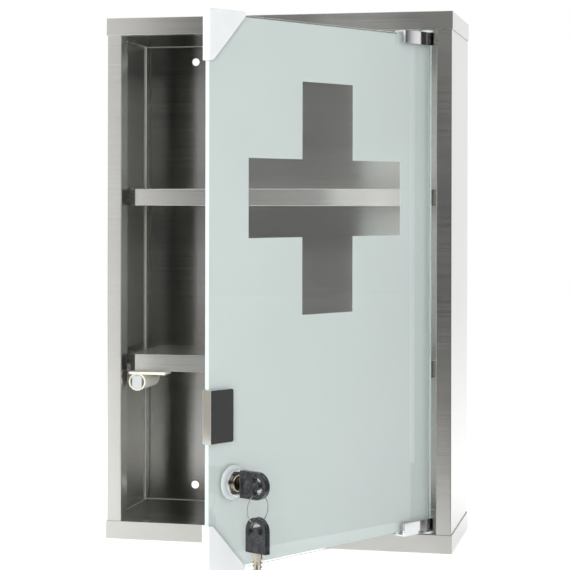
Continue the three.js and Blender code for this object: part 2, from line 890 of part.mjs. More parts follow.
function lockCam() {
  const half = camWidth / 2;
  const face = new THREE.Shape();
  face.absarc(0, 0, half, 0, Math.PI);
  face.absarc(0, -camReach + half, half, Math.PI, 2 * Math.PI);
  const halfHole = tailSquare / 2 + seatGap;
  const hole = block([-halfHole, 0, -halfHole], [halfHole, cabinetDepth, halfHole]);
  return cut(prismAlongY(face, camFront, camFront + camThickness, fineSides / 2), hole);
}

const camScrewSeat = tailRear + seatGap;
const camScrewProfile = [
  [0, tailRear - camScrewDepth],
  [camScrewShank / 2, tailRear - camScrewDepth],
  [camScrewShank / 2, camScrewSeat],
  [camScrewHead / 2, camScrewSeat],
  [camScrewHead / 2, camScrewSeat + camScrewHeadHeight / 2],
  [camScrewHead / 2 - camScrewHeadHeight / 2, camScrewSeat + camScrewHeadHeight],
  [0, camScrewSeat + camScrewHeadHeight],
];
addPiece(plug, "lock_plug", lockPlug(), "nickel");
addPiece(plug, "lock_cam", lockCam(), "zincSteel");
addPiece(plug, "cam_screw", turned(camScrewProfile, fineSides), "zincSteel");

// Keys: X runs from the head's base to its round end, Y across the head and Z through it
function keyHead() {
  const face = new THREE.Shape();
  face.moveTo(0, -keyHeadRadius);
  face.lineTo(keyCentre, -keyHeadRadius);
  face.absarc(keyCentre, 0, keyHeadRadius, -Math.PI / 2, Math.PI / 2);
  face.lineTo(0, keyHeadRadius);
  const middle = (slotInner + slotOuter) / 2;
  const endX = keyCentre + middle * Math.cos(keySlotAngle);
  const endY = middle * Math.sin(keySlotAngle);
  const cap = keySlotWidth / 2;
  const slot = new THREE.Path();
  slot.absarc(keyCentre, 0, slotOuter, -keySlotAngle, keySlotAngle);
  slot.absarc(endX, endY, cap, keySlotAngle, keySlotAngle + Math.PI);
  slot.absarc(keyCentre, 0, slotInner, keySlotAngle, -keySlotAngle, true);
  slot.absarc(endX, -endY, cap, Math.PI - keySlotAngle, 2 * Math.PI - keySlotAngle);
  face.holes.push(slot);
  const body = prism(face, -keyHeadThickness / 2, keyHeadThickness / 2, fineSides);
  const pocketY = keyBladeHeight / 2 + seatGap;
  const pocketZ = keyBladeThickness / 2 + seatGap;
  const pocket = block(
    [-overcut, -pocketY, -pocketZ],
    [keyBladeInHead + seatGap, pocketY, pocketZ],
  );
  return cut(body, pocket);
}

function keyBlade() {
  const half = keyBladeHeight / 2;
  const edge = [[keyBladeInHead, half]];
  for (let notch = 1; notch <= keyNotchCount; notch++) {
    const x = -keyShoulderGap - notch * keyNotchPitch;
    edge.push([x + keyNotchPitch / 2, half]);
    edge.push([x + keyNotchPitch / 4, half - keyNotchDepth]);
    edge.push([x, half - keyNotchDepth]);
    edge.push([x - keyNotchPitch / 4, half]);
  }
  edge.push([-keyBladeReach + keyNotchDepth, half]);
  edge.push([-keyBladeReach, half - 2 * keyNotchDepth]);
  const lower = edge.map(([x, y]) => [x, -y]).reverse();
  return prism(outline([...edge, ...lower]), -keyBladeThickness / 2, keyBladeThickness / 2);
}

const key = new THREE.Group();
key.position.set(0, keyBaseY, 0);
key.quaternion.setFromRotationMatrix(
  new THREE.Matrix4().makeBasis(
    new THREE.Vector3(0, -1, 0),
    new THREE.Vector3(0, 0, 1),
    new THREE.Vector3(-1, 0, 0),
  ),
);
plug.add(key);
addPiece(key, "key_blade", keyBlade(), "nickel");
addPiece(key, "key_head", keyHead(), "blackPlastic");

const ringGroup = new THREE.Group();
ringGroup.position.set(0, ringY, -ringTopDrop);
plug.add(ringGroup);
const ring = new THREE.TorusGeometry(ringRadius, ringWire / 2, springSteps, 2 * fineSides);
ring.rotateX(Math.PI / 2).translate(0, 0, -ringRadius);
addPiece(ringGroup, "key_ring", ring, "nickel");

const spareKey = new THREE.Group();
spareKey.position.set(0, 0, -spareBaseDrop);
spareKey.quaternion.setFromRotationMatrix(
  new THREE.Matrix4().makeBasis(
    new THREE.Vector3(0, 0, 1),
    new THREE.Vector3(0, -1, 0),
    new THREE.Vector3(1, 0, 0),
  ),
);
ringGroup.add(spareKey);
addPiece(spareKey, "spare_key_blade", keyBlade(), "nickel");
addPiece(spareKey, "spare_key_head", keyHead(), "blackPlastic");

export default cabinet;
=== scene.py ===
# Looks of a wall cabinet in folded stainless sheet, with a frosted glass door, a cam lock with keys and a push latch
import json
import math

import bmesh
import bpy
from mathutils import Matrix, Vector


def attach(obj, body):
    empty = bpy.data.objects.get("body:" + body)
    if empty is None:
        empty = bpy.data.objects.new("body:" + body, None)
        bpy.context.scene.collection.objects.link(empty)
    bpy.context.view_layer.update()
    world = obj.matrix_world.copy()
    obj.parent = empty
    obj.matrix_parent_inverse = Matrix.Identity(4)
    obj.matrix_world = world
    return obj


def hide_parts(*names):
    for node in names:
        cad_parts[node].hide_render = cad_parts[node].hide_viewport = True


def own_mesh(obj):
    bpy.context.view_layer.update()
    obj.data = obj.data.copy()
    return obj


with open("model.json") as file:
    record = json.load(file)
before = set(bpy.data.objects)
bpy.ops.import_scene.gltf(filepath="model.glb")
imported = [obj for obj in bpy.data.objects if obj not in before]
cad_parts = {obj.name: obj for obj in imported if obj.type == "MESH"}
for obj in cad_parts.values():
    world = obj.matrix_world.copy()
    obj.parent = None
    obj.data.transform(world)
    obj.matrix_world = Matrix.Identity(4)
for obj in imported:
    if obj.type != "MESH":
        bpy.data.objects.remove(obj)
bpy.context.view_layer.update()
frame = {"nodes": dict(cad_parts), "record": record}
nodes = frame["nodes"]
bodyOf = {node: body for body, names in frame["record"]["behaviour"]["bodies"].items() for node in names}


# Small helpers
def linear(hexColour, alpha=1.0):
    parts = [int(hexColour[i:i + 2], 16) / 255 for i in (1, 3, 5)]
    return [p / 12.92 if p <= 0.04045 else ((p + 0.055) / 1.055) ** 2.4 for p in parts] + [alpha]


def feed(node, inputs):
    for socket, value in inputs.items():
        if isinstance(value, bpy.types.NodeSocket):
            node.id_data.links.new(value, node.inputs[socket])
        else:
            node.inputs[socket].default_value = value


def addNode(tree, kind, inputs=None, **settings):
    node = tree.nodes.new(kind)
    for name, value in settings.items():
        setattr(node, name, value)
    feed(node, inputs or {})
    return node


def newMaterial(name, **constants):
    material = bpy.data.materials.new(name)
    material.use_nodes = True
    tree = material.node_tree
    tree.nodes.clear()
    shader = addNode(tree, "ShaderNodeBsdfPrincipled", constants)
    addNode(tree, "ShaderNodeOutputMaterial", {"Surface": shader.outputs[0]})
    return material, tree, shader


def perMm(size):
    return 1000 / size  # pattern repeats per metre for a size in mm


def newPiece(name, mesh):
    piece = bpy.data.objects.new(name, mesh)
    bpy.context.scene.collection.objects.link(piece)
    return piece


def mounted(piece, *names):
    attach(piece, bodyOf[names[0]])
    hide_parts(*names)
    return piece


# Stainless sheet, brushed along one axis: fine parallel scratches that stretch every reflection across them
brushed = {"dark": "#A5A4A0", "light": "#D8D7D3", "scratchMm": 0.5, "runMm": 160, "smudgeMm": 90, "smudgeShare": 0.3,
           "roughLow": 0.17, "roughHigh": 0.27, "bump": 0.04, "bumpDepth": 0.0002, "stretch": 0.95, "upright": (0, 0.02, 1)}


def brushedStainless(name, *along, metal=1.0):
    # real scratches are about 0.1 mm apart, drawn at 0.5 mm so that they show
    material, tree, shader = newMaterial(name, **{"Metallic": metal, "Anisotropic": brushed["stretch"]})
    place = addNode(tree, "ShaderNodeTexCoord").outputs["Object"]
    upright = addNode(tree, "ShaderNodeCombineXYZ", dict(zip("XYZ", brushed["upright"])))
    scale = [perMm(brushed["runMm"] if axis in along else brushed["scratchMm"]) for axis in range(3)]
    drawnOut = addNode(tree, "ShaderNodeMapping", {"Vector": place, "Scale": scale})
    scratches = addNode(tree, "ShaderNodeTexNoise",
                        {"Vector": drawnOut.outputs[0], "Scale": 1.0, "Detail": 4.0, "Roughness": 0.7})
    smudges = addNode(tree, "ShaderNodeTexNoise", {"Vector": place, "Scale": perMm(brushed["smudgeMm"]), "Detail": 3.0})
    both = addNode(tree, "ShaderNodeMix", {0: brushed["smudgeShare"], 2: scratches.outputs[0], 3: smudges.outputs[0]})
    tone = addNode(tree, "ShaderNodeMix", {0: both.outputs[0], 6: linear(brushed["dark"]), 7: linear(brushed["light"])},
                   data_type="RGBA")
    rough = addNode(tree, "ShaderNodeMapRange", {"Value": both.outputs[0], "From Min": 0.3, "From Max": 0.7,
                                                 "To Min": brushed["roughLow"], "To Max": brushed["roughHigh"]})
    relief = addNode(tree, "ShaderNodeBump", {"Height": scratches.outputs[0], "Strength": brushed["bump"],
                                              "Distance": brushed["bumpDepth"]})
    feed(shader, {"Base Color": tone.outputs[2], "Roughness": rough.outputs[0], "Normal": relief.outputs[0],
                  "Tangent": upright.outputs[0]})
    return material


brushedAcross = brushedStainless("stainless_brushed_across", 0)
brushedRound = brushedStainless("stainless_brushed_round", 0, 1)
brushedShelf = brushedStainless("stainless_brushed_satin", 0, metal=0.8)  # satin shelves scatter more of the light


# Plain finishes: a base colour with cloudy variation, a roughness that varies with it and, where given, a fine grain
def mottled(name, dark, light, cloudMm, roughLow, roughHigh, grainMm=None, grainBump=0.0, **constants):
    material, tree, shader = newMaterial(name, **constants)
    place = addNode(tree, "ShaderNodeTexCoord").outputs["Object"]
    clouds = addNode(tree, "ShaderNodeTexNoise", {"Vector": place, "Scale": perMm(cloudMm), "Detail": 4.0})
    tone = addNode(tree, "ShaderNodeMix", {0: clouds.outputs[0], 6: linear(dark), 7: linear(light)}, data_type="RGBA")
    rough = addNode(tree, "ShaderNodeMapRange", {"Value": clouds.outputs[0], "From Min": 0.3, "From Max": 0.7,
                                                 "To Min": roughLow, "To Max": roughHigh})
    feed(shader, {"Base Color": tone.outputs[2], "Roughness": rough.outputs[0]})
    if grainMm:
        grain = addNode(tree, "ShaderNodeTexNoise", {"Vector": place, "Scale": perMm(grainMm), "Detail": 2.0})
        relief = addNode(tree, "ShaderNodeBump", {"Height": grain.outputs[0], "Strength": grainBump, "Distance": 0.0002})
        feed(shader, {"Normal": relief.outputs[0]})
    return material


# sheared sheet: a torn, paler edge with little mirror left in it; the pale tone is partly painted highlight, and on the
# shelves' fold rounds and the bars inside the carcass it paints bright highlight lines
shearedEdgeAndHighlight = mottled("stainless_sheared_edge_and_painted_highlight", "#D2D1CC", "#DEDDD8", 3, 0.50, 0.65, Metallic=0.5)
# plating: chrome mirrors sharply, bright zinc is greyer and softer, nickel is warm
chromePlate = mottled("chrome_plated_zinc_polished", "#D4D6D8", "#E6E7E8", 25, 0.04, 0.10, Metallic=1.0)
zincPlate = mottled("steel_bright_zinc_plated", "#A3A5A4", "#BCBDBA", 6, 0.25, 0.42, Metallic=1.0)
nickelPlate = mottled("brass_nickel_plated", "#B7AE9A", "#CFC9BB", 5, 0.14, 0.28, Metallic=1.0)
# mouldings: a soft sheen over a faint grain from the mould, glossiest on the black heads
whiteNylon = mottled("nylon_moulded_white", "#CDD1D2", "#D6D9DA", 12, 0.38, 0.52, 0.8, 0.05, IOR=1.53)
vinylSoft = mottled("vinyl_moulded_translucent", "#BCC3C3", "#C5CBCB", 10, 0.40, 0.55, IOR=1.53)
ivoryAbs = mottled("abs_moulded_ivory", "#EDE9DA", "#F5F2E6", 10, 0.28, 0.40, 0.8, 0.04, IOR=1.54)
blackAbs = mottled("abs_moulded_black", "#202124", "#2E3034", 4, 0.20, 0.36, 0.5, 0.25, IOR=1.54)
# matt fillers: rubbery liner strips and a dark, gritty magnet
siliconeLiner = mottled("silicone_liner_extruded", "#8A8C8B", "#A2A4A3", 8, 0.55, 0.75, IOR=1.41)
ferrite = mottled("ferrite_magnet_sintered", "#2B2928", "#3C3937", 2, 0.55, 0.75, 0.4, 0.3, IOR=2.0)

# Float glass, clear with polished faces and finely ground edges that catch the light in pale green
glass = {"face": "#FFFFFF", "edge": "#D3DFDB", "edgeRough": 0.45, "edgeThrough": 0.25, "facesUntil": 0.95, "edgesFrom": 0.6,
         "normal": (0.863396, -0.504528, 0)}
floatGlass, tree, shader = newMaterial("float_glass_clear_ground_edges", **{"Transmission Weight": 1.0, "IOR": 1.5})
place = addNode(tree, "ShaderNodeTexCoord")
facing = addNode(tree, "ShaderNodeVectorMath", {0: place.outputs["Normal"], 1: glass["normal"]}, operation="DOT_PRODUCT")
away = addNode(tree, "ShaderNodeMath", {0: facing.outputs["Value"]}, operation="ABSOLUTE")
ground = addNode(tree, "ShaderNodeMapRange", {"Value": away.outputs[0], "From Min": glass["facesUntil"],
                                              "From Max": glass["edgesFrom"], "To Min": 0.0, "To Max": 1.0})
tint = addNode(tree, "ShaderNodeMix", {0: ground.outputs[0], 6: linear(glass["face"]), 7: linear(glass["edge"])},
               data_type="RGBA")
dull = addNode(tree, "ShaderNodeMath", {0: ground.outputs[0], 1: glass["edgeRough"]}, operation="MULTIPLY")
through = addNode(tree, "ShaderNodeMapRange", {"Value": ground.outputs[0], "To Min": 1.0, "To Max": glass["edgeThrough"]})
feed(shader, {"Base Color": tint.outputs[2], "Roughness": dull.outputs[0], "Transmission Weight": through.outputs[0]})

# Acid-etched layer: pale grey-green, matt, lets a little light through and shows no shapes behind it
frost = {"dark": "#CFDAD7", "light": "#D8E2E0", "cloudMm": 90, "roughLow": 0.60, "roughHigh": 0.75, "grainMm": 0.7,
         "grainBump": 0.03}
etchedGlass = mottled("glass_acid_etched", *frost.values(), **{"IOR": 1.5, "Transmission Weight": 0.2})
print("materials:", len(bpy.data.materials))


# Dressed sheet and moulded pieces: the node's own shape, merged, with soft edges and a finish
edgeRules = {"mergeM": 2e-6, "flatDegrees": 0.5, "foldDegrees": 40, "smoothDegrees": 32, "rimMm": 0.9, "shearedWeight": 0.2}


def camel(name):
    first, *rest = name.split("_")
    return first + "".join(word.capitalize() for word in rest)


def markSheet(work):
    # narrow faces are sheared rims; folds are round, sheared edges nearly sharp
    weight = work.edges.layers.float.new("bevel_weight_edge")
    for face in work.faces:
        width = face.calc_area() / max(edge.calc_length() for edge in face.edges)
        face.material_index = 1 if width < edgeRules["rimMm"] / 1000 else 0
    for edge in work.edges:
        if edge.calc_face_angle(0) > math.radians(edgeRules["foldDegrees"]):
            edge[weight] = edgeRules["shearedWeight"] if any(face.material_index for face in edge.link_faces) else 1.0


def dressNode(name, material, edgeMm, segments=2, shape=None, rim=None, paintedFoldHighlight=False):
    mesh = nodes[name].data.copy()
    mesh.name = camel(name)
    work = bmesh.new()
    work.from_mesh(mesh)
    bmesh.ops.remove_doubles(work, verts=work.verts, dist=edgeRules["mergeM"])
    bmesh.ops.dissolve_limit(work, angle_limit=math.radians(edgeRules["flatDegrees"]), verts=work.verts, edges=work.edges)
    if shape:
        shape(work)
    for face in work.faces:
        face.smooth = False
        face.material_index = 0
    if rim:
        markSheet(work)
    work.to_mesh(mesh)
    work.free()
    mesh.materials.clear()
    for finish in (material, rim) if rim else (material,):
        mesh.materials.append(finish)
    if not rim:
        mesh.shade_smooth()
        mesh.set_sharp_from_angle(angle=math.radians(edgeRules["smoothDegrees"]))
    piece = newPiece(camel(name), mesh)
    if edgeMm:
        soft = piece.modifiers.new("softEdges", "BEVEL")
        soft.width = edgeMm / 1000
        soft.segments = segments
        soft.limit_method = "WEIGHT" if rim else "ANGLE"
        soft.angle_limit = math.radians(edgeRules["foldDegrees"])
        soft.harden_normals = not rim
        # where asked, the fold rounds take the pale edge finish: a painted highlight along each fold
        soft.material = 1 if paintedFoldHighlight else -1
    return mounted(piece, name)


sheetEdges = {"trays": 0.6, "panels": 0.65, "shelves": 1.3, "segments": 3}
for name in ("bottom_tray", "top_tray"):
    dressNode(name, brushedAcross, sheetEdges["trays"], sheetEdges["segments"], rim=shearedEdgeAndHighlight)
for name in ("left_side_panel", "right_side_panel"):
    dressNode(name, brushedRound, sheetEdges["panels"], sheetEdges["segments"], rim=shearedEdgeAndHighlight)
dressNode("back_panel", brushedAcross, sheetEdges["panels"], sheetEdges["segments"], rim=shearedEdgeAndHighlight)
for name in ("upper_shelf", "lower_shelf"):
    # the shelves' fold rounds get the pale edge finish, a painted highlight along their folds
    dressNode(name, brushedShelf, sheetEdges["shelves"], sheetEdges["segments"], rim=shearedEdgeAndHighlight, paintedFoldHighlight=True)

# Thin round bars inside the carcass, in mm, in the pale edge finish, which paint bright highlight lines on the back
# panel's flanges, along the rear lips and round the side walls at lip height
highlightBarSizes = {"radius": 0.75, "fine": 0.45, "flangeX": 148.0, "flangeY": -7.5, "lipY": -1.6, "lipZ": 209.8, "wallX": 148.6,
         "jambY": -101.0, "sides": 10, "smoothDegrees": 50}


def bar(work, start, end, radius):
    start, end = Vector(start) / 1000, Vector(end) / 1000
    turn = (end - start).to_track_quat("Z", "Y").to_matrix().to_4x4()
    made = bmesh.ops.create_cone(work, cap_ends=True, segments=highlightBarSizes["sides"], radius1=radius / 1000, radius2=radius / 1000,
                                 depth=(end - start).length)
    bmesh.ops.transform(work, matrix=Matrix.Translation((start + end) / 2) @ turn, verts=made["verts"])


work = bmesh.new()
x, y, z = highlightBarSizes["flangeX"], highlightBarSizes["flangeY"], highlightBarSizes["lipZ"]
for sign in (-1, 1):
    bar(work, (sign * x, y, -z), (sign * x, y, z), highlightBarSizes["radius"])
    bar(work, (-x, highlightBarSizes["lipY"], sign * z), (x, highlightBarSizes["lipY"], sign * z), highlightBarSizes["fine"])
    for side in (-1, 1):
        wall = side * highlightBarSizes["wallX"]
        bar(work, (wall, highlightBarSizes["jambY"], sign * z), (wall, y, sign * z), highlightBarSizes["fine"])
mesh = bpy.data.meshes.new("highlightBars")
work.to_mesh(mesh)
work.free()
mesh.materials.append(shearedEdgeAndHighlight)
mesh.shade_smooth()
mesh.set_sharp_from_angle(angle=math.radians(highlightBarSizes["smoothDegrees"]))
highlightBars = newPiece("highlightBars", mesh)
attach(highlightBars, "cabinet")

# Edge rounding of the other pieces, in mm
mouldEdges = {"pane": 0.25, "clips": 0.35, "guards": 0.5, "latch": 0.4, "pins": 0.3, "screws": 0.15, "hardware": 0.2}
pane = dressNode("door_glass", floatGlass, mouldEdges["pane"])
pane.visible_shadow = False  # lamps light the etched layer through the glass
dressNode("frost_layer", etchedGlass, 0)
for level in ("upper", "lower"):
    dressNode(level + "_hinge_clip", chromePlate, mouldEdges["clips"])
    dressNode(level + "_hinge_liner", siliconeLiner, 0)
    dressNode(level + "_hinge_pin", zincPlate, mouldEdges["pins"])
    dressNode(level + "_hinge_bush", whiteNylon, mouldEdges["pins"])
    dressNode(level + "_hinge_screw_1", zincPlate, mouldEdges["screws"])
    dressNode(level + "_hinge_screw_2", zincPlate, mouldEdges["screws"])
    dressNode(level + "_corner_guard", whiteNylon, mouldEdges["guards"])
dressNode("push_clip", chromePlate, mouldEdges["clips"])
dressNode("push_clip_liner", siliconeLiner, 0)
dressNode("latch_housing", ivoryAbs, mouldEdges["latch"])
dressNode("latch_plunger", whiteNylon, mouldEdges["pins"])
dressNode("latch_magnet", ferrite, mouldEdges["hardware"])
for name in ("latch_screw_inner", "latch_screw_outer", "lock_nut", "lock_cam", "cam_screw"):
    dressNode(name, zincPlate, mouldEdges["hardware"])
dressNode("lock_washer", whiteNylon, mouldEdges["hardware"])
dressNode("lock_plug", nickelPlate, mouldEdges["screws"])
print("sheet, glass and moulded pieces dressed")

# Places on the door: mm in the closed door's frame, with the pivot as origin
door = {"pivot": (0.1283, -0.1125, 0), "openDegrees": 59.7}
doorToRow = (Matrix.Translation(door["pivot"]) @ Matrix.Rotation(math.radians(door["openDegrees"]), 4, "Z")
             @ Matrix.Scale(0.001, 4))
doorAlong = (doorToRow.to_3x3() @ Vector((1, 0, 0))).normalized()

# Keys: heads with a raised rim round a sunk face, blades with a milled groove
keys = {"rimMm": 1.4, "sinkMm": 0.9, "headEdgeMm": 0.4, "headSegments": 3, "grooveEdgeMm": 2.4, "grooveMm": 0.45,
        "bladeEdgeMm": 0.12, "bladeSegments": 2}


def sunkFaces(rimMm, sinkMm):
    def shape(work):
        flat = [face for face in work.faces if abs(face.normal.dot(doorAlong)) > 0.999]
        bmesh.ops.inset_region(work, faces=flat, thickness=rimMm / 1000, depth=-sinkMm / 1000, use_even_offset=True,
                               use_boundary=True)
    return shape


for name in ("key_head", "spare_key_head"):
    dressNode(name, blackAbs, keys["headEdgeMm"], keys["headSegments"], sunkFaces(keys["rimMm"], keys["sinkMm"]))
for name in ("key_blade", "spare_key_blade"):
    dressNode(name, nickelPlate, keys["bladeEdgeMm"], keys["bladeSegments"],
              sunkFaces(keys["grooveEdgeMm"], keys["grooveMm"]))
print("keys made")

# Turned pieces of the lock, with finer rounds than the solids: profiles are (radius, place along the lock) in mm
lock = {"place": (-235.0, 0, -140.6), "sides": 96, "smoothDegrees": 40,
        "bezel": [(6.5, -5.3), (8.2, -5.3), (8.6, -5.45), (8.85, -6.1), (9.05, -6.9), (9.25, -7.22), (9.55, -7.4),
                  (9.85, -7.3), (10.1, -7.05), (10.25, -6.6), (10.25, -4.0), (10.05, -3.8), (9.0, -3.8), (9.0, 11.1),
                  (8.7, 11.4), (6.5, 11.4)],
        "gasket": [(9.5, -2.3), (9.5, -3.4), (9.6, -3.5), (12.3, -3.5), (12.75, -3.3), (13.0, -2.8), (13.0, -2.3)]}


def turnedPiece(name, node, profile, material, place):
    work = bmesh.new()
    rings = []
    for step in range(lock["sides"]):
        angle = 2 * math.pi * step / lock["sides"]
        rings.append([work.verts.new(place @ Vector((radius * math.cos(angle), along, radius * math.sin(angle))))
                      for radius, along in profile])
    count = len(profile)
    for step, one in enumerate(rings):
        two = rings[(step + 1) % lock["sides"]]
        for i in range(count):
            work.faces.new((one[i], one[(i + 1) % count], two[(i + 1) % count], two[i]))
    bmesh.ops.recalc_face_normals(work, faces=work.faces)
    mesh = bpy.data.meshes.new(name)
    work.to_mesh(mesh)
    work.free()
    mesh.materials.append(material)
    mesh.shade_smooth()
    mesh.set_sharp_from_angle(angle=math.radians(lock["smoothDegrees"]))
    return mounted(newPiece(name, mesh), node)


lockPlace = doorToRow @ Matrix.Translation(lock["place"])
turnedPiece("lockBody", "lock_body", lock["bezel"], chromePlate, lockPlace)
turnedPiece("lockGasket", "lock_gasket", lock["gasket"], vinylSoft, lockPlace)
print("lock turned")


# Pieces made by nodes: a tree with named inputs, ending in real geometry with its finish, turned into a plain mesh
def newTree(name, **kinds):
    tree = bpy.data.node_groups.new(name, "GeometryNodeTree")
    sockets = {}
    for label, kind in kinds.items():
        socket = tree.interface.new_socket(name=label, in_out="INPUT", socket_type="NodeSocket" + kind)
        sockets[label] = socket.identifier
    tree.interface.new_socket(name="Geometry", in_out="OUTPUT", socket_type="NodeSocketGeometry")
    return tree, sockets, addNode(tree, "NodeGroupInput").outputs


def closeTree(tree, geometry, finish):
    real = addNode(tree, "GeometryNodeRealizeInstances", {"Geometry": geometry})
    smooth = addNode(tree, "GeometryNodeSetShadeSmooth", {"Geometry": real.outputs[0]})
    painted = addNode(tree, "GeometryNodeSetMaterial", {"Geometry": smooth.outputs[0], "Material": finish})
    addNode(tree, "NodeGroupOutput", {"Geometry": painted.outputs[0]})


def madeByNodes(name, tree, sockets, values, finish, start=None, place=Matrix()):
    holder = newPiece(name + "Base", start or bpy.data.meshes.new(name + "Base"))
    modifier = holder.modifiers.new("build", "NODES")
    modifier.node_group = tree
    for label, value in {**values, "Finish": finish}.items():
        if label in sockets:
            modifier[sockets[label]] = value
    bpy.context.view_layer.update()
    mesh = bpy.data.meshes.new_from_object(holder.evaluated_get(bpy.context.evaluated_depsgraph_get()))
    bpy.data.objects.remove(holder)
    mesh.name = name
    mesh.transform(place)
    mesh.set_sharp_from_angle(angle=math.radians(edgeRules["foldDegrees"]))
    return newPiece(name, mesh)


# Wound wire: a round wire along a helix, for the key ring, the latch spring and the lock's thread
wireTree, wireSockets, given = newTree("woundWire", Turns="Float", Radius="Float", Height="Float", Wire="Float", Steps="Int",
                                       Finish="Material")
helix = addNode(wireTree, "GeometryNodeCurveSpiral", {"Resolution": given["Steps"], "Rotations": given["Turns"],
                                                      "Start Radius": given["Radius"], "End Radius": given["Radius"],
                                                      "Height": given["Height"]})
wireRound = addNode(wireTree, "GeometryNodeCurvePrimitiveCircle", {"Resolution": 10, "Radius": given["Wire"]})
tube = addNode(wireTree, "GeometryNodeCurveToMesh", {"Curve": helix.outputs[0], "Profile Curve": wireRound.outputs[0],
                                                     "Fill Caps": True})
closeTree(wireTree, tube.outputs[0], given["Finish"])
zToY = Matrix.Rotation(math.radians(-90), 4, "X")

# Split ring, in mm on the door; its wire's ends are turned away from both keys
ring = {"place": (-235.0, -27.3, -156.95), "endsDegrees": 130, "Turns": 2.0, "Radius": 10.95, "Height": 0.56, "Wire": 0.27,
        "Steps": 64}
ringPlace = (doorToRow @ Matrix.Translation(ring["place"]) @ zToY
             @ Matrix.Rotation(math.radians(ring["endsDegrees"]), 4, "Z") @ Matrix.Translation((0, 0, -ring["Height"] / 2)))
keyRing = madeByNodes("keyRing", wireTree, wireSockets, ring, nickelPlate, place=ringPlace)
mounted(keyRing, "key_ring")

# Latch spring, in mm, wound at one length from front to rear; the real one shortens as the plunger goes in
spring = {"axis": (-126.0, -90.6), "front": -97.2, "rear": -69.1, "press": 4.0, "Turns": 9.0, "Radius": 2.75, "Wire": 0.35,
          "Steps": 24}
springX, springZ = spring["axis"]
springRun = spring["rear"] - spring["front"]
spring["Height"] = springRun - 2 * spring["Wire"]
springPlace = (Matrix.Scale(0.001, 4) @ Matrix.Translation((springX, spring["front"] + spring["Wire"], springZ)) @ zToY)
latchSpring = madeByNodes("latchSpring", wireTree, wireSockets, spring, zincPlate, place=springPlace)
mounted(latchSpring, "latch_spring")
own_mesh(latchSpring)
print("key ring and latch spring wound")

# Thread on the lock's barrel behind its nut, in mm
thread = {"from": 8.0, "Turns": 3.0, "Radius": 8.95, "Height": 3.0, "Wire": 0.28, "Steps": 48}
threadPlace = lockPlace @ Matrix.Translation((0, thread["from"], 0)) @ zToY
lockThread = madeByNodes("lockThread", wireTree, wireSockets, thread, chromePlate, place=threadPlace)
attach(lockThread, "door")

# Shelf studs: a shoulder and a pin on each point of the side walls
studTree, studSockets, given = newTree("shelfStuds", Points="Geometry", Shoulder="Float", ShoulderRadius="Float", Pin="Float",
                                       PinRadius="Float", Turn="Float", Finish="Material")
shoulder = addNode(studTree, "GeometryNodeMeshCylinder", {"Vertices": 32, "Radius": given["ShoulderRadius"],
                                                          "Depth": given["Shoulder"]})
pin = addNode(studTree, "GeometryNodeMeshCylinder", {"Vertices": 32, "Radius": given["PinRadius"], "Depth": given["Pin"]})
halfShoulder = addNode(studTree, "ShaderNodeMath", {0: given["Shoulder"], 1: 0.5}, operation="MULTIPLY")
halfPin = addNode(studTree, "ShaderNodeMath", {0: given["Pin"], 1: 0.5}, operation="MULTIPLY")
pinMiddle = addNode(studTree, "ShaderNodeMath", {0: given["Shoulder"], 1: halfPin.outputs[0]}, operation="ADD")
lower = addNode(studTree, "ShaderNodeCombineXYZ", {"Z": halfShoulder.outputs[0]})
upper = addNode(studTree, "ShaderNodeCombineXYZ", {"Z": pinMiddle.outputs[0]})
shoulder = addNode(studTree, "GeometryNodeTransform", {"Geometry": shoulder.outputs["Mesh"], "Translation": lower.outputs[0]})
pin = addNode(studTree, "GeometryNodeTransform", {"Geometry": pin.outputs["Mesh"], "Translation": upper.outputs[0]})
joined = addNode(studTree, "GeometryNodeMeshBoolean", {"Mesh": shoulder.outputs[0]}, operation="UNION", solver="EXACT")
feed(joined, {"Mesh": pin.outputs[0]})
turn = addNode(studTree, "ShaderNodeCombineXYZ", {"Y": given["Turn"]})
placed = addNode(studTree, "GeometryNodeInstanceOnPoints", {"Points": given["Points"], "Instance": joined.outputs[0],
                                                            "Rotation": turn.outputs[0]})
closeTree(studTree, placed.outputs[0], given["Finish"])

studs = {"wall": 0.1482, "rows": (0.07025, -0.07425), "depths": (-0.0845, -0.017), "Shoulder": 0.0121,
         "ShoulderRadius": 0.0025, "Pin": 0.004, "PinRadius": 0.0017}
for side, sign in (("left", -1), ("right", 1)):
    points = bpy.data.meshes.new("studPoints")
    points.from_pydata([(sign * studs["wall"], y, z) for z in studs["rows"] for y in studs["depths"]], [], [])
    values = {**studs, "Turn": -sign * math.pi / 2}
    row = madeByNodes(side + "ShelfStuds", studTree, studSockets, values, zincPlate, start=points)
    mounted(row, *[f"{level}_shelf_stud_{side}_{end}" for level in ("upper", "lower") for end in ("front", "rear")])
print("shelf studs placed")

# Camera, fitted to the photograph
view = {"lens": 112.22, "sensor": 36, "shift": (0.0538, -0.1472), "place": (0.3247, -1.5897, 0.0670), "turnDegrees": 13.14,
        "rollDegrees": 0.103, "clip": (0.05, 50)}
cameraData = bpy.data.cameras.new("studioCamera")
cameraData.lens, cameraData.sensor_width = view["lens"], view["sensor"]
cameraData.shift_x, cameraData.shift_y = view["shift"]
cameraData.clip_start, cameraData.clip_end = view["clip"]
camera = newPiece("studioCamera", cameraData)
camera.matrix_world = (Matrix.Translation(view["place"]) @ Matrix.Rotation(math.radians(view["turnDegrees"]), 4, "Z")
                       @ Matrix.Rotation(math.radians(90), 4, "X")
                       @ Matrix.Rotation(math.radians(view["rollDegrees"]), 4, "Z"))
bpy.context.scene.camera = camera

# Studio: a pale floor and a white surround, which the camera, metal and glass see brighter than they light
studio = {"floorZ": -0.2256, "floorReach": 4, "floorTone": "#F4F4F4", "floorLift": 0.5, "ambient": 0.5}


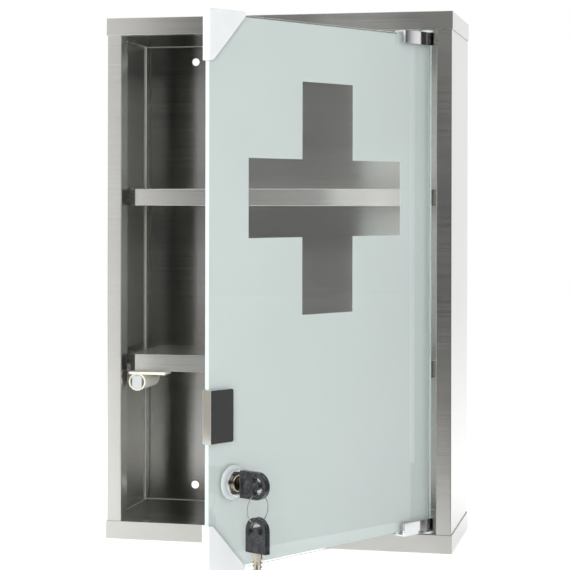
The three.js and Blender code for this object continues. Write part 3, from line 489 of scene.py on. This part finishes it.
def plate(name, corners, material):
    mesh = bpy.data.meshes.new(name)
    mesh.from_pydata(corners, [], [(0, 1, 2, 3)])
    mesh.materials.append(material)
    piece = newPiece(name, mesh)
    return piece


def seenRays(tree):
    path = addNode(tree, "ShaderNodeLightPath").outputs
    seen = addNode(tree, "ShaderNodeMath", {0: path["Is Camera Ray"], 1: path["Is Glossy Ray"]}, operation="MAXIMUM")
    seen = addNode(tree, "ShaderNodeMath", {0: seen.outputs[0], 1: path["Is Transmission Ray"]}, operation="MAXIMUM")
    return seen.outputs[0]


floorPaint, tree, shader = newMaterial("studio_floor_matt_white", **{"Base Color": linear(studio["floorTone"]), "Roughness": 0.9,
                                                                     "Emission Color": (1, 1, 1, 1)})
lift = addNode(tree, "ShaderNodeMath", {0: seenRays(tree), 1: studio["floorLift"]}, operation="MULTIPLY")
feed(shader, {"Emission Strength": lift.outputs[0]})
reach, z = studio["floorReach"], studio["floorZ"]
plate("studioFloor", [(-reach, -reach, z), (reach, -reach, z), (reach, reach, z), (-reach, reach, z)], floorPaint)

world = bpy.data.worlds.new("studioSurround")
bpy.context.scene.world = world
world.use_nodes = True
tree = world.node_tree
tree.nodes.clear()
level = addNode(tree, "ShaderNodeMapRange", {"Value": seenRays(tree), "To Min": studio["ambient"], "To Max": 1.0})
surround = addNode(tree, "ShaderNodeBackground", {"Color": (1, 1, 1, 1), "Strength": level.outputs[0]})
addNode(tree, "ShaderNodeOutputWorld", {"Surface": surround.outputs[0]})

lampAim = Vector((0, -0.06, 0))
lamps = {"keyRight": {"place": (1.5, -1.0, 0.9), "size": 1.0, "watts": 7},
         "topSoft": {"place": (-0.3, -0.5, 1.6), "size": 1.2, "watts": 6},
         "backLeft": {"place": (-1.6, -0.55, 0.5), "size": 1.0, "watts": 32},
         "frontSoft": {"place": (0.5, -2.0, 0.05), "size": 0.8, "watts": 24}}
for name, lamp in lamps.items():
    data = bpy.data.lights.new(name, "AREA")
    data.size, data.energy = lamp["size"], lamp["watts"]
    light = newPiece(name, data)
    light.location = lamp["place"]
    light.rotation_euler = (lampAim - Vector(lamp["place"])).to_track_quat("-Z", "Y").to_euler()
    light.visible_glossy = light.visible_transmission = False


# Flags that only the metal and the glass reflect: plain tones, or dark in the middle and fading to white at their rims
def flagCloth(name, tone, level, middle=None, half=None, core=0.0):
    material, tree, shader = newMaterial(name, **{"Base Color": (0, 0, 0, 1), "Roughness": 1.0, "Specular IOR Level": 0.0,
                                                  "Emission Color": linear(tone), "Emission Strength": level})
    if middle:
        place = addNode(tree, "ShaderNodeTexCoord").outputs["Object"]
        centred = addNode(tree, "ShaderNodeVectorMath", {0: place, 1: middle}, operation="SUBTRACT")
        scaled = addNode(tree, "ShaderNodeVectorMath", {0: centred.outputs[0], 1: half}, operation="DIVIDE")
        size = addNode(tree, "ShaderNodeVectorMath", {0: scaled.outputs[0]}, operation="ABSOLUTE")
        parts = addNode(tree, "ShaderNodeSeparateXYZ", {0: size.outputs[0]}).outputs
        reach = addNode(tree, "ShaderNodeMath", {0: parts[0], 1: parts[1]}, operation="MAXIMUM")
        reach = addNode(tree, "ShaderNodeMath", {0: reach.outputs[0], 1: parts[2]}, operation="MAXIMUM")
        fade = addNode(tree, "ShaderNodeMapRange", {"Value": reach.outputs[0], "From Min": core, "From Max": 1.0,
                                                    "To Min": level, "To Max": 1.0}, interpolation_type="SMOOTHSTEP")
        feed(shader, {"Emission Strength": fade.outputs[0]})
    return material


low = studio["floorZ"] + 0.002  # just off the floor
flags = {"flagFront": {"tone": "#FFFFFF", "level": 0.03, "middle": (0.3, -2.0, -0.005), "half": (1.03, 1.0, 0.645), "core": 0.87,
                       "corners": [(-0.75, -2.0, low), (1.35, -2.0, low), (1.35, -2.0, 0.66), (-0.75, -2.0, 0.66)]},
         "flagTable": {"tone": "#FFFFFF", "level": 0.06, "middle": (-0.1, -1.5, low), "half": (1.2, 1.15, 1.0), "core": 0.45,
                       "corners": [(-0.2, -0.35, low), (0.9, -0.35, low), (0.9, -1.99, low), (-0.69, -1.99, low)]},
         "flagRight": {"tone": "#FFFFFF", "level": 0.08,
                       "corners": [(0.6, -1.99, low), (0.6, 0.0527, low), (0.6, 0.0527, 0.45), (0.6, -1.99, 0.45)]},
         "flagSide": {"tone": "#FFFFFF", "level": 0.08,
                      "corners": [(0.33, 0.0527, low), (0.6, 0.0527, low), (0.6, -0.4, low), (0.1, -0.4, low)]},
         "flagLeft": {"tone": "#F2EBDA", "level": 0.6,
                      "corners": [(-0.78, -0.9, low), (-0.78, -0.2, low), (-0.78, -0.2, 0.1), (-0.78, -0.9, 0.1)]}}
for name, flag in flags.items():
    cloth = flagCloth("studio_" + name, **{key: value for key, value in flag.items() if key != "corners"})
    card = plate(name, flag["corners"], cloth)
    card.visible_camera = card.visible_diffuse = card.visible_transmission = card.visible_shadow = False

bpy.context.scene.view_settings.view_transform = "Standard"
print("studio ready")
